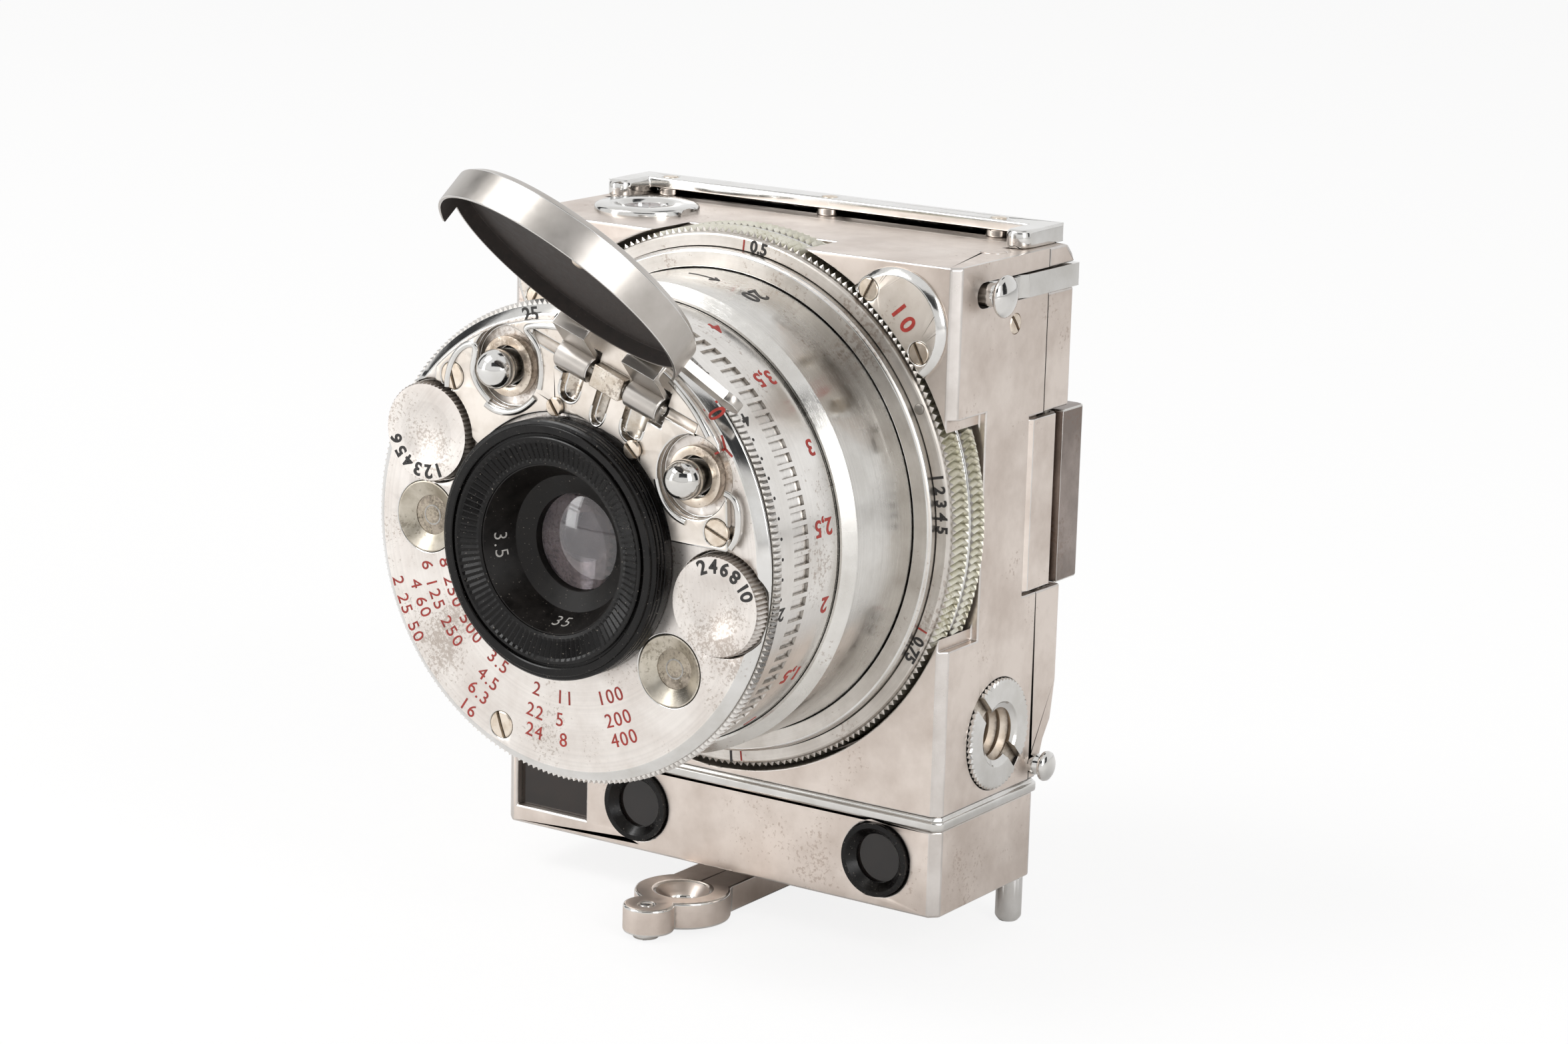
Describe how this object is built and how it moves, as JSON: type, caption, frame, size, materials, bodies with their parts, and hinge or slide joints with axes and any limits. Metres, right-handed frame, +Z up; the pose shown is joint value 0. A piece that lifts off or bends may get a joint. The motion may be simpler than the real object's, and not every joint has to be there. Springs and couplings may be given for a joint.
{
  "type": "subminiature camera",
  "caption": "Machined aluminium rangefinder camera with telescoping lens tubes, knurled focus rings, hinged lens cap, side tripod bush and fold-out stand arm.",
  "frame": {"origin": "middle of the finder block's underside, in width and depth", "axes": "+X to the right as seen from the front, +Y from the lens towards the back, +Z up"},
  "size_m": [0.0564, 0.076, 0.0818],
  "materials": {
    "satin_aluminium": "machined, satin, warm grey",
    "bright_aluminium": "turned and polished",
    "knurled_aluminium": "fine straight knurl with yellowed dirt in its grooves",
    "chrome": "polished plate",
    "screw_steel": "slotted heads with a brown tint",
    "black_lacquer": "black lacquer on turned metal",
    "red_lacquer": "red lacquer",
    "optical_glass": "coated clear glass",
    "ground_glass": "fine ground face",
    "silvered_glass": "front silvered"
  },
  "bodies": {
    "camera_body": {"main_body": "satin_aluminium", "back_cover": "satin_aluminium", "finder_block": "satin_aluminium", "ledge_band": "bright_aluminium", "viewfinder_window": "optical_glass", "eyepieces": "optical_glass", "rangefinder_bezels": "black_lacquer", "rangefinder_glasses": "optical_glass", "beam_splitter": "silvered_glass", "corner_plates": "satin_aluminium", "corner_screws": "screw_steel", "level_ring": "chrome", "level_glass": "optical_glass", "level_disc": "red_lacquer", "top_rail": "chrome", "rail_rivets": "screw_steel", "top_plug": "satin_aluminium", "side_screw": "screw_steel", "back_stud": "bright_aluminium", "tripod_bush": "satin_aluminium", "film_gate": "black_lacquer", "focusing_screen": "ground_glass", "pressure_plate": "black_lacquer", "foot_pins": "bright_aluminium", "arm_pivot": "screw_steel", "back_bridge": "satin_aluminium", "catch_pins": "screw_steel"},
    "stand": {"stand_arm": "satin_aluminium", "arm_foot": "bright_aluminium"},
    "far_mirror": {"turning_mirror": "silvered_glass"},
    "right_catch_leaf": {"right_catch": "satin_aluminium"},
    "left_catch_leaf": {"left_catch": "satin_aluminium"},
    "latch": {"top_latch": "bright_aluminium"},
    "focus_rings": {"focus_ring": "knurled_aluminium", "polished_strip": "bright_aluminium", "rear_ring": "knurled_aluminium"},
    "focus_tube": {"focus_sleeve": "satin_aluminium"},
    "outer_tube": {"outer_barrel": "satin_aluminium"},
    "lens_unit": {"inner_barrel": "satin_aluminium", "shutter_plate": "satin_aluminium", "front_disc": "satin_aluminium", "cover_plate": "bright_aluminium", "disc_screws": "screw_steel", "plate_screws": "screw_steel", "window_cones": "bright_aluminium", "release_collars": "bright_aluminium", "lens_ring": "black_lacquer", "lens_hood": "black_lacquer", "front_glass": "optical_glass", "rear_cell": "black_lacquer", "hinge_pin": "screw_steel"},
    "speeds": {"speed_ring": "satin_aluminium"},
    "shutter": {"shutter_disc": "screw_steel"},
    "aperture_control": {"aperture_knob": "satin_aluminium"},
    "aperture_wheel": {"aperture_turret": "satin_aluminium"},
    "filter_control": {"filter_knob": "satin_aluminium"},
    "filter_wheel": {"filter_turret": "satin_aluminium"},
    "left_pin": {"left_release": "chrome"},
    "right_pin": {"right_release": "chrome"},
    "cap": {"lens_cap": "chrome"}
  },
  "joints": [
    {"name": "focus_turn", "type": "hinge", "parent": "camera_body", "child": "focus_rings", "pos_m": [0, -0.0094, 0.0385], "axis": [0, -1, 0], "range_deg": [0, 300]},
    {"name": "focus_travel", "type": "slide", "parent": "camera_body", "child": "focus_tube", "axis": [0, -1, 0], "range_m": [0, 0.0012]},
    {"name": "mirror_turn", "type": "hinge", "parent": "camera_body", "child": "far_mirror", "pos_m": [0.0195, -0.0001, 0], "axis": [0, 0, 1], "range_deg": [0, 1.7]},
    {"name": "outer_tube_slide", "type": "slide", "parent": "focus_tube", "child": "outer_tube", "axis": [0, 1, 0], "range_m": [0, 0.0105]},
    {"name": "lens_slide", "type": "slide", "parent": "outer_tube", "child": "lens_unit", "axis": [0, 1, 0], "range_m": [0, 0.0105]},
    {"name": "speed_turn", "type": "hinge", "parent": "lens_unit", "child": "speeds", "pos_m": [0, -0.0274, 0.0385], "axis": [0, -1, 0], "range_deg": [-172, 172]},
    {"name": "shutter_spin", "type": "hinge", "parent": "lens_unit", "child": "shutter", "pos_m": [0, -0.0294, 0.0447], "axis": [0, -1, 0], "continuous": true},
    {"name": "aperture_knob_turn", "type": "hinge", "parent": "lens_unit", "child": "aperture_control", "pos_m": [-0.01587, -0.0354, 0.04741], "axis": [0, -1, 0], "continuous": true},
    {"name": "aperture_wheel_turn", "type": "hinge", "parent": "lens_unit", "child": "aperture_wheel", "pos_m": [-0.0076, -0.0314, 0.03866], "axis": [0, -1, 0], "continuous": true},
    {"name": "filter_knob_turn", "type": "hinge", "parent": "lens_unit", "child": "filter_control", "pos_m": [0.01799, -0.0354, 0.03572], "axis": [0, -1, 0], "continuous": true},
    {"name": "filter_wheel_turn", "type": "hinge", "parent": "lens_unit", "child": "filter_wheel", "pos_m": [0.00608, -0.0304, 0.03394], "axis": [0, -1, 0], "continuous": true},
    {"name": "left_pin_press", "type": "slide", "parent": "lens_unit", "child": "left_pin", "axis": [0, 1, 0], "range_m": [0, 0.0016], "stiffness_N_per_m": 250},
    {"name": "right_pin_press", "type": "slide", "parent": "lens_unit", "child": "right_pin", "axis": [0, 1, 0], "range_m": [0, 0.0016], "stiffness_N_per_m": 250},
    {"name": "cap_hinge", "type": "hinge", "parent": "lens_unit", "child": "cap", "pos_m": [0.00575, -0.0362, 0.05519], "axis": [0.9455, 0, -0.3256], "range_deg": [0, 129.5]},
    {"name": "stand_swing", "type": "hinge", "parent": "camera_body", "child": "stand", "pos_m": [-0.001, 0.003, 0], "axis": [0, 0, 1], "range_deg": [0, 90]},
    {"name": "latch_slide", "type": "slide", "parent": "camera_body", "child": "latch", "axis": [0, 1, 0], "range_m": [0, 0.0025]},
    {"name": "right_catch_rock", "type": "hinge", "parent": "camera_body", "child": "right_catch_leaf", "pos_m": [0.0254, 0.01, 0.039], "axis": [0, 0, 1], "range_deg": [0, 25], "stiffness_Nm_per_rad": 0.01},
    {"name": "left_catch_rock", "type": "hinge", "parent": "camera_body", "child": "left_catch_leaf", "pos_m": [-0.0254, 0.01, 0.039], "axis": [0, 0, -1], "range_deg": [0, 25], "stiffness_Nm_per_rad": 0.01}
  ],
  "couplings": [
    {"joint": "focus_travel", "follows": "focus_turn", "m_per_rad": 0.00022918},
    {"joint": "mirror_turn", "follows": "focus_turn", "ratio": 0.0055333},
    {"joint": "aperture_wheel_turn", "follows": "aperture_knob_turn", "ratio": -0.13158},
    {"joint": "filter_wheel_turn", "follows": "filter_knob_turn", "ratio": -0.13158}
  ]
}
